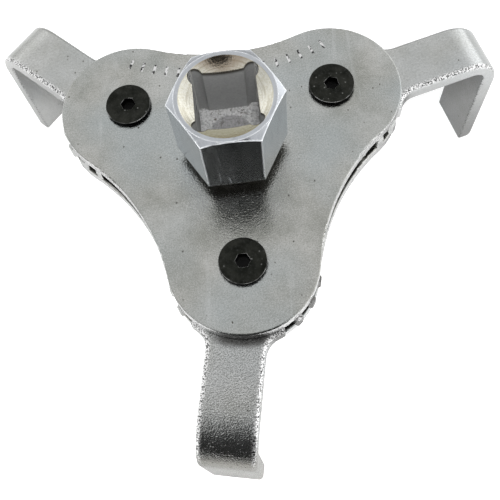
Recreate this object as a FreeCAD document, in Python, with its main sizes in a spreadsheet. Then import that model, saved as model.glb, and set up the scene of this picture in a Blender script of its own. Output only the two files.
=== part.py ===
import FreeCAD, Part
import math
import os
import Sketcher
from FreeCAD import Placement, Rotation, Vector

# Two-way, three-jaw oil filter wrench. Millimetres, +Z up.
# The origin is the centre of the hub's top face, on the axis of the square drive.
# Turning the hub turns the sun gear, which swings the three geared legs round a filter.

SIZES = {
    # drive hub
    "hub_rise": 22.4,           # hub top above the top plate
    "hex_flats": 21.0,
    "hex_clearance": 3.8,       # underside of the hexagon above the top plate
    "hub_turn": 1.5,            # rest angle of the hexagon's corner from +X, degrees
    "hub_edge_round": 0.25,
    "crown_radius": 10.4,       # flat top; outside it the corners are cut to a ball
    "crown_reach": 13.1,        # the ball passes this far out, and crown_drop down
    "crown_drop": 1.75,
    "mouth_radius": 9.6,        # dished mouth of the socket, at the top face
    "mouth_depth": 2.82,        # depth of the dish on the axis
    "socket_side": 12.9,        # 1/2 inch square drive
    "socket_depth": 16.0,
    "relief_radius": 1.6,       # round corner reliefs of the square
    "relief_offset": 5.6,
    "pilot_radius": 4.8,        # drilled hole that the square was broached from
    "pilot_depth": 0.7,
    "collar_radius": 9.2,
    "upper_journal_radius": 8.25,
    "tang_flats": 14.0,         # hexagonal tang that drives the sun gear
    "tang_clearance": 0.01,
    "lower_journal_radius": 6.5,
    "ring_groove_radius": 6.2,
    "ring_groove_width": 1.1,
    "hub_tail": 1.6,            # hub left below the groove
    "hub_tail_chamfer": 0.5,
    "journal_clearance": 0.06,
    # plates
    "plate_thickness": 3.0,
    "plate_gap": 4.2,
    "lobe_offset": 26.3,
    "lobe_radius": 16.4,
    "waist_radius": 25.5,       # nearest approach of the outline to the axis
    "plate_edge_round": 0.45,
    "mark_inset": 5.4,          # stamped bars, in a row along one hollow waist
    "mark_pitch": 2.9,
    "mark_length": 2.5,
    "mark_width": 0.6,
    "mark_depth": 0.2,
    "pivot_offset": 27.0,       # hub axis to each leg pivot
    "end_clearance": 0.1,
    # gears: 15 teeth on the sun, 21 on the full circle of a leg
    "gear_module": 1.5,
    "sun_teeth": 15,
    "leg_teeth": 21,
    "sun_tip_radius": 12.45,
    "sun_root_radius": 10.1,
    "sun_tooth_width": 1.43,    # at the pitch circle
    "leg_tip_radius": 16.6,
    "leg_root_radius": 14.25,
    "leg_tooth_width": 1.93,
    "arm_teeth": 5,             # tooth places that the arm takes up
    "gear_thickness": 4.0,
    # legs
    "arm_width": 12.6,
    "finger_reach": 36.9,       # pivot to the finger's gripping face, at the bend
    "finger_splay": -0.3,       # how much further out the finger's end is
    "finger_thickness": 3.8,
    "leg_height": 36.6,
    "bend_outer_radius": 9.6,
    "bend_inner_radius": 3.5,
    "arm_root_round": 5.0,
    "leg_outer_edge_round": 1.1,
    "leg_inner_edge_round": 0.4,
    "tip_bevel": 1.4,
    "mean_rest_swing": -12.5,   # middle of the play, degrees from straight out
    "leg_1_swing": -10.2,
    "leg_2_swing": -14.8,
    "leg_3_swing": -12.2,
    "leg_bore_radius": 4.06,
    # pivot fasteners
    "screw_head_radius": 5.0,
    "screw_head_proud": 1.25,
    "screw_head_band": 0.4,
    "screw_head_chamfer": 0.2,
    "screw_radius": 2.45,
    "screw_length": 18.0,
    "screw_end_chamfer": 0.4,
    "screw_key_flats": 3.0,
    "screw_key_depth": 1.9,
    "screw_hole_radius": 2.6,
    "sleeve_radius": 4.0,
    "sleeve_bore_radius": 2.55,
    "lock_washer_radius": 4.6,
    "lock_washer_thickness": 1.2,
    "lock_washer_split": 0.8,
    "nut_flats": 8.0,
    "nut_height": 4.0,
    "nut_bore_radius": 2.5,
    "nut_crown_radius": 3.9,    # as the hub's crown
    "nut_crown_reach": 5.6,
    "nut_crown_drop": 0.96,
    # hub retention
    "thrust_washer_radius": 10.5,
    "thrust_washer_thickness": 1.0,
    "ring_radius": 8.3,
    "ring_thickness": 1.0,
    "ring_grip": 0.02,          # radial play in the groove
    "ring_lug_radius": 1.7,
    "ring_lug_hole_radius": 0.65,
    "ring_lug_distance": 8.5,   # hub axis to each lug
    "ring_lug_angle": 20.0,     # each side of the gap's middle
    "ring_gap": 2.1,
}

LEG_ANGLES = {1: -90.0, 2: 30.0, 3: 150.0}
PRESSURE_ANGLE = math.radians(20.0)
DOWN = True      # pads of a sketch on the XY plane that run towards -Z
MARKS_EACH_SIDE = 8
PAST = 1.0       # how far the outline of a cut runs past the metal

doc = FreeCAD.newDocument("OilFilterWrench")
sheet = doc.addObject("Spreadsheet::Sheet", "Sizes")


def fill_sheet():
    for row, (name, size) in enumerate(SIZES.items(), start=1):
        sheet.set(f"A{row}", name)
        sheet.set(f"B{row}", str(size))
        sheet.setAlias(f"B{row}", name)
    doc.recompute()


# ---- sketch helpers -------------------------------------------------------------------

def new_body(name):
    body = doc.addObject("PartDesign::Body", name)
    body.Label = name
    return body


def new_sketch(body, name, role="XY_Plane", lift=None):
    """A sketch on one of the body's own origin planes, lifted along its normal."""
    sketch = body.newObject("Sketcher::SketchObject", name)
    plane = next(item for item in body.Origin.OriginFeatures if item.Role == role)
    sketch.AttachmentSupport = [(plane, "")]
    sketch.MapMode = "FlatFace"
    if lift:
        sketch.setExpression("AttachmentOffset.Base.z", lift)
    return sketch


def pin_point(sketch, index, position, x, y):
    """Tie one point of a curve to two expressions, measured from the sketch's origin."""
    vertical_axis, horizontal_axis = -2, -1
    for kind, expression, axis in (("DistanceX", x, vertical_axis), ("DistanceY", y, horizontal_axis)):
        if expression == "0":
            sketch.addConstraint(Sketcher.Constraint("PointOnObject", index, position, axis))
        else:
            datum = float(sketch.evalExpression(expression))
            number = sketch.addConstraint(Sketcher.Constraint(kind, index, position, datum))
            sketch.setExpression(f"Constraints[{number}]", expression)


def add_polygon(sketch, points, ball_side=False):
    """A closed polygon whose corners are pairs of expressions.

    With ball_side, its last side is an arc about a point of the sketch's vertical axis.
    """
    corners = [Vector(float(sketch.evalExpression(x)), float(sketch.evalExpression(y)), 0) for x, y in points]
    count = len(corners)
    first = sketch.GeometryCount
    straight = count - 1 if ball_side else count
    for index in range(straight):
        sketch.addGeometry(Part.LineSegment(corners[index], corners[(index + 1) % count]))
    for index in range(count if straight == count else count - 2):
        follower = first + (index + 1) % count
        sketch.addConstraint(Sketcher.Constraint("Coincident", first + index, 2, follower, 1))
    for index in range(straight):
        pin_point(sketch, first + index, 1, *points[index])
    if ball_side:
        pin_point(sketch, first + straight - 1, 2, *points[-1])
        add_ball_side(sketch, (first + straight - 1, corners[-1]), (first, corners[0]))


def add_ball_side(sketch, last, first):
    """An arc from the end of the last line to the start of the first, centred on the vertical axis."""
    (last_line, start), (first_line, end) = last, first
    height = (start.Length**2 - end.Length**2) / (2 * (start.y - end.y))
    centre = Vector(0, height, 0)
    circle = Part.Circle(centre, Vector(0, 0, 1), (start - centre).Length)
    start_angle, end_angle = (math.atan2(p.y - height, p.x) for p in (start, end))
    ends = [(last_line, 2, start_angle), (first_line, 1, end_angle)]
    ends.sort(key=lambda item: item[2])
    arc = sketch.addGeometry(Part.ArcOfCircle(circle, ends[0][2], ends[1][2]))
    for position, (line, line_end, _) in enumerate(ends, start=1):
        sketch.addConstraint(Sketcher.Constraint("Coincident", arc, position, line, line_end))
    vertical_axis = -2
    sketch.addConstraint(Sketcher.Constraint("PointOnObject", arc, 3, vertical_axis))


def add_circle(sketch, radius, x="0", y="0"):
    """A circle whose radius and centre are expressions."""
    size = float(sketch.evalExpression(radius))
    centre = Vector(float(sketch.evalExpression(x)), float(sketch.evalExpression(y)), 0)
    index = sketch.addGeometry(Part.Circle(centre, Vector(0, 0, 1), size))
    number = sketch.addConstraint(Sketcher.Constraint("Radius", index, size))
    sketch.setExpression(f"Constraints[{number}]", radius)
    pin_point(sketch, index, 3, x, y)


def add_hexagon(sketch, flats):
    """A hexagon with two corners on the X axis, from its size across the flats."""
    corner_radius = f"({flats}) / 2 / cos(30)"
    points = []
    for step in range(6):
        y = "0" if step % 3 == 0 else f"{corner_radius} * sin({60 * step})"
        points.append((f"{corner_radius} * cos({60 * step})", y))
    add_polygon(sketch, points)


def add_arcs(sketch, arcs):
    """A chain of arcs, each from a start, a middle and an end point."""
    for start, middle, end in arcs:
        sketch.addGeometry(Part.Arc(start, middle, end))


# ---- feature helpers ------------------------------------------------------------------

def pad(body, sketch, name, length, down=False, both_ways=False):
    feature = body.newObject("PartDesign::Pad", name)
    feature.Profile = sketch
    feature.setExpression("Length", length)
    feature.Reversed = down
    feature.Midplane = both_ways
    doc.recompute()
    return feature


def pocket(body, sketch, name, length=None):
    """Cut a sketch down into the body, or right through it where no length is given."""
    before = body.Shape.Volume
    feature = body.newObject("PartDesign::Pocket", name)
    feature.Profile = sketch
    if length:
        feature.setExpression("Length", length)
    else:
        feature.Type = "ThroughAll"
        feature.Midplane = True
    doc.recompute()
    require_cut(body, name, before)
    return feature


def spin(body, kind, sketch, name):
    """A Revolution or a Groove about the sketch's vertical axis."""
    before = body.Shape.Volume if body.Tip else 0.0
    feature = body.newObject(f"PartDesign::{kind}", name)
    feature.Profile = sketch
    feature.ReferenceAxis = (sketch, ["V_Axis"])
    feature.Angle = 360
    doc.recompute()
    if kind == "Groove":
        require_cut(body, name, before)
    return feature


def ring_pattern(body, feature, name, count, angle):
    """Repeat a feature about the body's Z axis: count copies spread over an angle."""
    before = body.Shape.Volume
    z_axis = next(item for item in body.Origin.OriginFeatures if item.Role == "Z_Axis")
    pattern = body.newObject("PartDesign::PolarPattern", name)
    pattern.Originals = [feature]
    pattern.Axis = (z_axis, [""])
    pattern.Angle = angle
    pattern.Occurrences = count
    body.Tip = pattern
    doc.recompute()
    require_cut(body, name, before)


def round_edges(body, name, radius, test, kind="Fillet"):
    """Fillet or chamfer every edge of the body's tip that passes a test."""
    tip = body.Tip
    names = [f"Edge{i}" for i, edge in enumerate(tip.Shape.Edges, start=1) if test(edge)]
    feature = body.newObject(f"PartDesign::{kind}", name)
    feature.Base = (tip, names)
    feature.setExpression("Radius" if kind == "Fillet" else "Size", radius)
    doc.recompute()


def require_cut(body, name, before):
    if body.Shape.Volume >= before - 1e-6:
        raise RuntimeError(f"{body.Label}: {name} removes nothing")


def place(body, z, angle=None, radius=None, direction=0.0):
    """Put a body at a height, at a radius from the hub's axis, turned about Z."""
    if radius:
        body.setExpression("Placement.Base.x", f"{radius} * cos({direction})")
        body.setExpression("Placement.Base.y", f"{radius} * sin({direction})")
    body.setExpression("Placement.Base.z", z)
    if angle:
        body.Placement = Placement(body.Placement.Base, Rotation(Vector(0, 0, 1), 1))
        body.setExpression("Placement.Rotation.Angle", angle)


# ---- heights, as expressions ----------------------------------------------------------

PLATE_TOP = "-Sizes.hub_rise"
GAP_TOP = "-(Sizes.hub_rise + Sizes.plate_thickness)"
GEAR_TOP = "-(Sizes.hub_rise + Sizes.plate_thickness + Sizes.end_clearance)"
LOWER_PLATE_TOP = "-(Sizes.hub_rise + Sizes.plate_thickness + Sizes.plate_gap)"
LOWER_PLATE_FOOT = "-(Sizes.hub_rise + 2 * Sizes.plate_thickness + Sizes.plate_gap)"
WASHER_TOP = f"{LOWER_PLATE_FOOT} - Sizes.end_clearance / 2"
WASHER_FOOT = f"{WASHER_TOP} - Sizes.thrust_washer_thickness"
GROOVE_TOP = f"{WASHER_FOOT} - Sizes.end_clearance / 2"
GROOVE_FOOT = f"{GROOVE_TOP} - Sizes.ring_groove_width"
HUB_FOOT = f"{GROOVE_FOOT} - Sizes.hub_tail"


# ---- gears ----------------------------------------------------------------------------

def involute(angle):
    return math.tan(angle) - angle


def polar(radius, angle):
    return Vector(radius * math.cos(angle), radius * math.sin(angle), 0)


def gap_edge(teeth, tooth_width, radius):
    """Half the angle of the gap between two teeth, at a radius."""
    pitch_radius = sheet.gear_module * teeth / 2
    base_radius = pitch_radius * math.cos(PRESSURE_ANGLE)
    flank = math.acos(min(1.0, base_radius / radius))
    tooth_edge = tooth_width / (2 * pitch_radius) + involute(PRESSURE_ANGLE) - involute(flank)
    return math.pi / teeth - tooth_edge


def add_tooth_gap(sketch, teeth, tooth_width, root_radius, tip_radius, direction):
    """One gap between teeth, with involute flanks, open past the tip circle."""
    base_radius = sheet.gear_module * teeth / 2 * math.cos(PRESSURE_ANGLE)
    middle_radius = (base_radius + tip_radius) / 2
    outside = tip_radius + PAST
    sides = []
    for side in (-1, 1):
        base = direction + side * gap_edge(teeth, tooth_width, base_radius)
        middle = direction + side * gap_edge(teeth, tooth_width, middle_radius)
        tip = direction + side * gap_edge(teeth, tooth_width, tip_radius)
        sides.append((base, middle, tip))
        sketch.addGeometry(Part.LineSegment(polar(root_radius, base), polar(base_radius, base)))
        add_arcs(sketch, [(polar(base_radius, base), polar(middle_radius, middle), polar(tip_radius, tip))])
        sketch.addGeometry(Part.LineSegment(polar(tip_radius, tip), polar(outside, tip)))
    (low_base, _, low_tip), (high_base, _, high_tip) = sides
    root_middle = polar(root_radius, direction)
    add_arcs(sketch, [(polar(root_radius, low_base), root_middle, polar(root_radius, high_base))])
    sketch.addGeometry(Part.LineSegment(polar(outside, low_tip), polar(outside, high_tip)))


def gear_ratio():
    return sheet.leg_teeth / sheet.sun_teeth


def sun_turn():
    """Turn of the sun gear that centres a gap of it on each leg gear at the mean rest swing."""
    leg_pitch = 360.0 / sheet.leg_teeth
    inward = 180.0 - sheet.mean_rest_swing
    past_tooth = (inward + leg_pitch / 2) % leg_pitch - leg_pitch / 2
    return LEG_ANGLES[1] + past_tooth * gear_ratio()


# ---- plates ---------------------------------------------------------------------------

def hollow_radius():
    """Radius of the hollow waist that is tangent to the lobes on both sides of it."""
    offset, lobe, waist = sheet.lobe_offset, sheet.lobe_radius, sheet.waist_radius
    return (lobe**2 - offset**2 - waist**2 + offset * waist) / (2 * waist - offset - 2 * lobe)


def plate_outline():
    """Three lobes joined by three hollow waists, as tangent arcs."""
    offset, lobe, waist = sheet.lobe_offset, sheet.lobe_radius, sheet.waist_radius
    hollow = hollow_radius()
    arcs = []
    for leg_angle in LEG_ANGLES.values():
        angle = math.radians(leg_angle)
        lobe_centre = polar(offset, angle)
        meets = []
        for side in (-1, 1):
            hollow_centre = polar(waist + hollow, angle + side * math.pi / 3)
            meets.append(lobe_centre + (hollow_centre - lobe_centre).normalize() * lobe)
        arcs.append((meets[0], lobe_centre + polar(lobe, angle), meets[1]))
        next_angle = angle + 2 * math.pi / 3
        next_lobe = polar(offset, next_angle)
        next_meet = next_lobe + (polar(waist + hollow, angle + math.pi / 3) - next_lobe).normalize() * lobe
        arcs.append((meets[1], polar(waist, angle + math.pi / 3), next_meet))
    return arcs


def add_three_circles(sketch, radius):
    for leg_angle in LEG_ANGLES.values():
        x = "0" if abs(math.cos(math.radians(leg_angle))) < 1e-9 else f"Sizes.pivot_offset * cos({leg_angle})"
        add_circle(sketch, radius, x, f"Sizes.pivot_offset * sin({leg_angle})")


def make_plate(name, z, hub_bore, countersunk):
    body = new_body(name)
    outline = new_sketch(body, f"{name}_outline")
    add_arcs(outline, plate_outline())
    pad(body, outline, f"{name}_sheet", "Sizes.plate_thickness", DOWN)
    round_edges(body, f"{name}_edges", "Sizes.plate_edge_round", is_level_edge)
    bore = new_sketch(body, f"{name}_bore")
    add_circle(bore, hub_bore)
    pocket(body, bore, f"{name}_hub_bore")
    holes = new_sketch(body, f"{name}_holes")
    add_three_circles(holes, "Sizes.screw_hole_radius")
    if countersunk:
        doc.recompute()
        before = body.Shape.Volume
        hole = body.newObject("PartDesign::Hole", f"{name}_screw_holes")
        hole.Profile = holes
        doc.recompute()
        hole.DepthType = "ThroughAll"
        hole.setExpression("Diameter", "2 * Sizes.screw_hole_radius")
        hole.HoleCutType = "Countersink"
        hole.HoleCutCustomValues = True
        head_at_plate = "Sizes.screw_head_radius + Sizes.screw_head_band - Sizes.screw_head_proud"
        hole.setExpression("HoleCutDiameter", f"2 * ({head_at_plate} + Sizes.end_clearance)")
        hole.HoleCutCountersinkAngle = 90
        doc.recompute()
        require_cut(body, "screw holes", before)
    else:
        pocket(body, holes, f"{name}_screw_holes")
    place(body, z)


def stamp_marks(name):
    """A row of plain bars stamped in the top plate, following the +Y waist."""
    body = doc.getObject(name)
    middle = sheet.waist_radius + hollow_radius()
    row_radius = hollow_radius() + sheet.mark_inset
    step = sheet.mark_pitch / row_radius
    marks = new_sketch(body, "stamped_bars")
    for index in range(-MARKS_EACH_SIDE, MARKS_EACH_SIDE + 1):
        outward = polar(1, -math.pi / 2 + index * step)
        across = Vector(-outward.y, outward.x, 0)
        centre = Vector(0, middle, 0) + outward * row_radius
        corners = []
        for far, side in ((-1, -1), (1, -1), (1, 1), (-1, 1)):
            along = outward * (far * sheet.mark_length / 2)
            corners.append(centre + along + across * (side * sheet.mark_width / 2))
        for start, end in zip(corners, corners[1:] + corners[:1]):
            marks.addGeometry(Part.LineSegment(start, end))
    pocket(body, marks, "stamped_row", "Sizes.mark_depth")


def is_level_edge(edge):
    return edge.BoundBox.ZLength < 1e-6


# ---- hub and sun gear -----------------------------------------------------------------

def make_drive_hub():
    body = new_body("drive_hub")
    hexagon = new_sketch(body, "hub_hexagon")
    add_hexagon(hexagon, "Sizes.hex_flats")
    pad(body, hexagon, "hub_head", "Sizes.hub_rise - Sizes.hex_clearance", DOWN)
    round_edges(body, "hub_corner_edges", "Sizes.hub_edge_round", lambda edge: edge.BoundBox.ZLength > 1)

    crown = new_sketch(body, "hub_crown_profile", "XZ_Plane")
    rim, reach = "Sizes.crown_radius", "Sizes.crown_reach"
    add_polygon(crown, [(rim, "0"), (reach, "0"), (reach, "-Sizes.crown_drop")], ball_side=True)
    spin(body, "Groove", crown, "hub_crown")

    shank = new_sketch(body, "hub_shank_profile", "XZ_Plane")
    hex_foot = "-(Sizes.hub_rise - Sizes.hex_clearance)"
    collar_foot = f"{PLATE_TOP} + Sizes.end_clearance"
    add_polygon(shank, [
        ("0", hex_foot),
        ("Sizes.collar_radius", hex_foot),
        ("Sizes.collar_radius", collar_foot),
        ("Sizes.upper_journal_radius", collar_foot),
        ("Sizes.upper_journal_radius", GEAR_TOP),
        ("Sizes.lower_journal_radius", GEAR_TOP),
        ("Sizes.lower_journal_radius", GROOVE_TOP),
        ("Sizes.ring_groove_radius", GROOVE_TOP),
        ("Sizes.ring_groove_radius", GROOVE_FOOT),
        ("Sizes.lower_journal_radius", GROOVE_FOOT),
        ("Sizes.lower_journal_radius", f"{HUB_FOOT} + Sizes.hub_tail_chamfer"),
        ("Sizes.lower_journal_radius - Sizes.hub_tail_chamfer", HUB_FOOT),
        ("0", HUB_FOOT),
    ])
    spin(body, "Revolution", shank, "hub_shank")

    tang = new_sketch(body, "hub_tang_hexagon", lift=GEAR_TOP)
    add_hexagon(tang, "Sizes.tang_flats")
    pad(body, tang, "hub_tang", "Sizes.gear_thickness", DOWN)

    square = new_sketch(body, "hub_square")
    half = "Sizes.socket_side / 2"
    add_polygon(square, [(half, half), (f"-{half}", half), (f"-{half}", f"-{half}"), (half, f"-{half}")])
    pocket(body, square, "hub_socket", "Sizes.socket_depth")

    reliefs = new_sketch(body, "hub_relief_circles")
    for x_sign in ("", "-"):
        for y_sign in ("", "-"):
            x, y = f"{x_sign}Sizes.relief_offset", f"{y_sign}Sizes.relief_offset"
            add_circle(reliefs, "Sizes.relief_radius", x, y)
    pocket(body, reliefs, "hub_corner_reliefs", "Sizes.socket_depth")

    mouth = new_sketch(body, "hub_mouth_profile", "XZ_Plane")
    add_polygon(mouth, [("Sizes.mouth_radius", "0"), ("0", "0"), ("0", "-Sizes.mouth_depth")], ball_side=True)
    spin(body, "Groove", mouth, "hub_mouth")

    pilot = new_sketch(body, "hub_pilot_profile", "XZ_Plane")
    add_polygon(pilot, [
        ("0", "-Sizes.socket_depth"),
        ("Sizes.pilot_radius", "-Sizes.socket_depth"),
        ("0", "-(Sizes.socket_depth + Sizes.pilot_depth)"),
    ])
    spin(body, "Groove", pilot, "hub_pilot_cone")
    place(body, "0", "Sizes.hub_turn")


def make_sun_gear():
    body = new_body("sun_gear")
    blank = new_sketch(body, "sun_blank_circle")
    add_circle(blank, "Sizes.sun_tip_radius")
    pad(body, blank, "sun_blank", "Sizes.gear_thickness", DOWN)
    gap = new_sketch(body, "sun_gap")
    first_gap = math.radians(sun_turn() - sheet.hub_turn)
    add_tooth_gap(gap, sheet.sun_teeth, sheet.sun_tooth_width, sheet.sun_root_radius,
                  sheet.sun_tip_radius, first_gap)
    cut = pocket(body, gap, "sun_first_gap")
    ring_pattern(body, cut, "sun_gaps", sheet.sun_teeth, 360)
    bore = new_sketch(body, "sun_bore_hexagon")
    add_hexagon(bore, "Sizes.tang_flats + 2 * Sizes.tang_clearance")
    pocket(body, bore, "sun_bore")
    place(body, GEAR_TOP, "Sizes.hub_turn")


# ---- legs -----------------------------------------------------------------------------

def is_bend_edge(x, z):
    """A test for the edge of the bent bar that crosses its width at a given place."""
    def test(edge):
        middle = edge.CenterOfMass
        across = edge.BoundBox.YLength > 1 and edge.BoundBox.XLength < 1e-6
        return across and abs(middle.x - x) < 1e-3 and abs(middle.z - z) < 1e-3
    return test


def make_leg(number):
    name = f"leg_{number}"
    body = new_body(name)

    profile = new_sketch(body, f"{name}_profile", "XZ_Plane")
    lean = "Sizes.finger_splay / (Sizes.leg_height - Sizes.gear_thickness)"
    reach = "Sizes.finger_reach"
    end_reach = "Sizes.finger_reach + Sizes.finger_splay"
    back = f"Sizes.finger_reach + Sizes.finger_thickness - {lean} * Sizes.gear_thickness"
    end_back = f"{end_reach} + Sizes.finger_thickness"
    add_polygon(profile, [
        ("0", "0"),
        (back, "0"),
        (end_back, "-Sizes.leg_height"),
        (end_reach, "-Sizes.leg_height"),
        (reach, "-Sizes.gear_thickness"),
        ("0", "-Sizes.gear_thickness"),
    ])
    inner, outer, end_outer = (float(profile.evalExpression(x)) for x in (reach, back, end_back))
    underside = -sheet.gear_thickness
    pad(body, profile, f"{name}_bar", "Sizes.arm_width", both_ways=True)
    round_edges(body, f"{name}_outer_bend", "Sizes.bend_outer_radius", is_bend_edge(outer, 0))
    round_edges(body, f"{name}_inner_bend", "Sizes.bend_inner_radius", is_bend_edge(inner, underside))
    tip_edge = is_bend_edge(end_outer, -sheet.leg_height)
    round_edges(body, f"{name}_tip_bevel", "Sizes.tip_bevel", tip_edge, "Chamfer")

    blank = new_sketch(body, f"{name}_blank_circle")
    add_circle(blank, "Sizes.leg_tip_radius")
    pad(body, blank, f"{name}_blank", "Sizes.gear_thickness", DOWN)
    root_x = math.sqrt(sheet.leg_tip_radius**2 - (sheet.arm_width / 2)**2)

    def is_arm_root(edge):
        return edge.BoundBox.ZLength > 1 and abs(edge.CenterOfMass.x - root_x) < 0.05

    round_edges(body, f"{name}_arm_root", "Sizes.arm_root_round", is_arm_root)
    round_edges(body, f"{name}_outer_edges", "Sizes.leg_outer_edge_round", is_bar_side_edge(0))
    round_edges(body, f"{name}_inner_edges", "Sizes.leg_inner_edge_round", is_bar_side_edge(underside))

    pitch = 2 * math.pi / sheet.leg_teeth
    first_gap = sheet.arm_teeth / 2 * pitch
    gap = new_sketch(body, f"{name}_gap")
    add_tooth_gap(gap, sheet.leg_teeth, sheet.leg_tooth_width, sheet.leg_root_radius,
                  sheet.leg_tip_radius, first_gap)
    cut = pocket(body, gap, f"{name}_first_gap")
    gaps = sheet.leg_teeth - sheet.arm_teeth + 1
    ring_pattern(body, cut, f"{name}_gaps", gaps, math.degrees((gaps - 1) * pitch))

    bore = new_sketch(body, f"{name}_bore_circle")
    add_circle(bore, "Sizes.leg_bore_radius")
    pocket(body, bore, f"{name}_bore")
    direction = LEG_ANGLES[number]
    place(body, GEAR_TOP, f"{direction} + Sizes.leg_{number}_swing", "Sizes.pivot_offset", direction)


def is_bar_side_edge(z):
    """A test for the straight edges along both sides of the arm, at one height."""
    def test(edge):
        box = edge.BoundBox
        on_side = box.YLength < 1e-6 and abs(abs(box.YMin) - sheet.arm_width / 2) < 1e-3
        level = box.ZLength < 1e-6 and abs(box.ZMin - z) < 1e-3
        return on_side and level and box.XLength > 1
    return test


# ---- pivot fasteners ------------------------------------------------------------------

def make_ring(name, outer, inner, height):
    body = new_body(name)
    section = new_sketch(body, f"{name}_circles")
    add_circle(section, outer)
    add_circle(section, inner)
    pad(body, section, f"{name}_ring", height, DOWN)
    return body


def place_on_pivot(body, number, z):
    direction = LEG_ANGLES[number]
    place(body, z, f"{direction}", "Sizes.pivot_offset", direction)


def make_screw(number):
    name = f"pivot_screw_{number}"
    body = new_body(name)
    profile = new_sketch(body, f"{name}_profile", "XZ_Plane")
    rim, radius = "Sizes.screw_head_radius", "Sizes.screw_radius"
    neck = f"-(Sizes.screw_head_band + {rim} - {radius})"
    foot = "-Sizes.screw_length"
    add_polygon(profile, [
        ("0", "0"),
        (f"{rim} - Sizes.screw_head_chamfer", "0"),
        (rim, "-Sizes.screw_head_chamfer"),
        (rim, "-Sizes.screw_head_band"),
        (radius, neck),
        (radius, f"{foot} + Sizes.screw_end_chamfer"),
        (f"{radius} - Sizes.screw_end_chamfer", foot),
        ("0", foot),
    ])
    spin(body, "Revolution", profile, f"{name}_shank")
    key = new_sketch(body, f"{name}_key_hexagon")
    add_hexagon(key, "Sizes.screw_key_flats")
    pocket(body, key, f"{name}_key", "Sizes.screw_key_depth")
    place_on_pivot(body, number, f"{PLATE_TOP} + Sizes.screw_head_proud")


def make_sleeve(number):
    outer, bore = "Sizes.sleeve_radius", "Sizes.sleeve_bore_radius"
    body = make_ring(f"pivot_sleeve_{number}", outer, bore, "Sizes.plate_gap")
    place_on_pivot(body, number, GAP_TOP)


def make_lock_washer(number):
    name = f"pivot_lock_washer_{number}"
    outer, bore = "Sizes.lock_washer_radius", "Sizes.sleeve_bore_radius"
    body = make_ring(name, outer, bore, "Sizes.lock_washer_thickness")
    split = new_sketch(body, f"{name}_split")
    far, half = f"Sizes.lock_washer_radius + {PAST}", "Sizes.lock_washer_split / 2"
    add_polygon(split, [
        ("0", f"-{half}"),
        (far, f"-{half}"),
        (far, half),
        ("0", half),
    ])
    pocket(body, split, f"{name}_cut")
    place_on_pivot(body, number, LOWER_PLATE_FOOT)


def make_nut(number):
    name = f"pivot_nut_{number}"
    body = new_body(name)
    hexagon = new_sketch(body, f"{name}_hexagon")
    add_hexagon(hexagon, "Sizes.nut_flats")
    add_circle(hexagon, "Sizes.nut_bore_radius")
    pad(body, hexagon, f"{name}_block", "Sizes.nut_height", DOWN)
    crown = new_sketch(body, f"{name}_crown_profile", "XZ_Plane")
    foot, reach = "-Sizes.nut_height", "Sizes.nut_crown_reach"
    add_polygon(crown, [
        ("Sizes.nut_crown_radius", foot),
        (reach, foot),
        (reach, f"{foot} + Sizes.nut_crown_drop"),
    ], ball_side=True)
    spin(body, "Groove", crown, f"{name}_crown")
    place_on_pivot(body, number, f"{LOWER_PLATE_FOOT} - Sizes.lock_washer_thickness")


# ---- hub retention --------------------------------------------------------------------

def make_thrust_washer():
    bore = "Sizes.lower_journal_radius + Sizes.journal_clearance"
    body = make_ring("thrust_washer", "Sizes.thrust_washer_radius", bore, "Sizes.thrust_washer_thickness")
    place(body, WASHER_TOP)


def make_retaining_ring():
    """A snap ring, open towards one corner of the hub, with a pierced lug on each side of its gap."""
    inner = "Sizes.ring_groove_radius + Sizes.ring_grip"
    body = make_ring("retaining_ring", "Sizes.ring_radius", inner, "Sizes.ring_thickness")
    lug_x = "Sizes.ring_lug_distance * cos(Sizes.ring_lug_angle)"
    lug_y = "Sizes.ring_lug_distance * sin(Sizes.ring_lug_angle)"
    lugs = new_sketch(body, "ring_lug_circles")
    holes = new_sketch(body, "ring_lug_holes")
    for sign in ("", "-"):
        add_circle(lugs, "Sizes.ring_lug_radius", lug_x, f"{sign}{lug_y}")
        add_circle(holes, "Sizes.ring_lug_hole_radius", lug_x, f"{sign}{lug_y}")
    pad(body, lugs, "ring_lugs", "Sizes.ring_thickness", DOWN)
    pocket(body, holes, "ring_lug_piercing")
    gap = new_sketch(body, "ring_gap_outline")
    far = f"Sizes.ring_lug_distance + Sizes.ring_lug_radius + {PAST}"
    half = "Sizes.ring_gap / 2"
    add_polygon(gap, [("0", f"-{half}"), (far, f"-{half}"), (far, half), ("0", half)])
    pocket(body, gap, "ring_gap")
    side_play = "(Sizes.ring_groove_width - Sizes.ring_thickness) / 2"
    place(body, f"{GROOVE_TOP} - {side_play}", "Sizes.hub_turn")


# ---- whole tool -----------------------------------------------------------------------

def check_and_export():
    failed = [item.Name for item in doc.Objects if "Invalid" in item.State or "Error" in item.State]
    if failed:
        raise RuntimeError(f"failed objects: {failed}")
    os.makedirs("parts", exist_ok=True)
    for body in doc.findObjects("PartDesign::Body"):
        shape = body.Shape
        if shape.isNull() or not shape.isValid() or len(shape.Solids) != 1:
            raise RuntimeError(f"{body.Label}: not one valid solid")
        shape.exportStep(f"parts/{body.Label}.step")
        box = shape.BoundBox
        print(f"{body.Label}: {shape.Volume:.1f} mm3, x {box.XMin:.2f}..{box.XMax:.2f}, "
              f"y {box.YMin:.2f}..{box.YMax:.2f}, z {box.ZMin:.2f}..{box.ZMax:.2f}")


def main():
    fill_sheet()
    clearance = "Sizes.journal_clearance"
    make_plate("top_plate", PLATE_TOP, f"Sizes.upper_journal_radius + {clearance}", True)
    stamp_marks("top_plate")
    make_plate("bottom_plate", LOWER_PLATE_TOP, f"Sizes.lower_journal_radius + {clearance}", False)
    make_drive_hub()
    make_sun_gear()
    make_thrust_washer()
    make_retaining_ring()
    for number in LEG_ANGLES:
        make_leg(number)
        make_screw(number)
        make_sleeve(number)
        make_lock_washer(number)
        make_nut(number)
    doc.recompute()
    check_and_export()


main()
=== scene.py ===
import math

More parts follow.
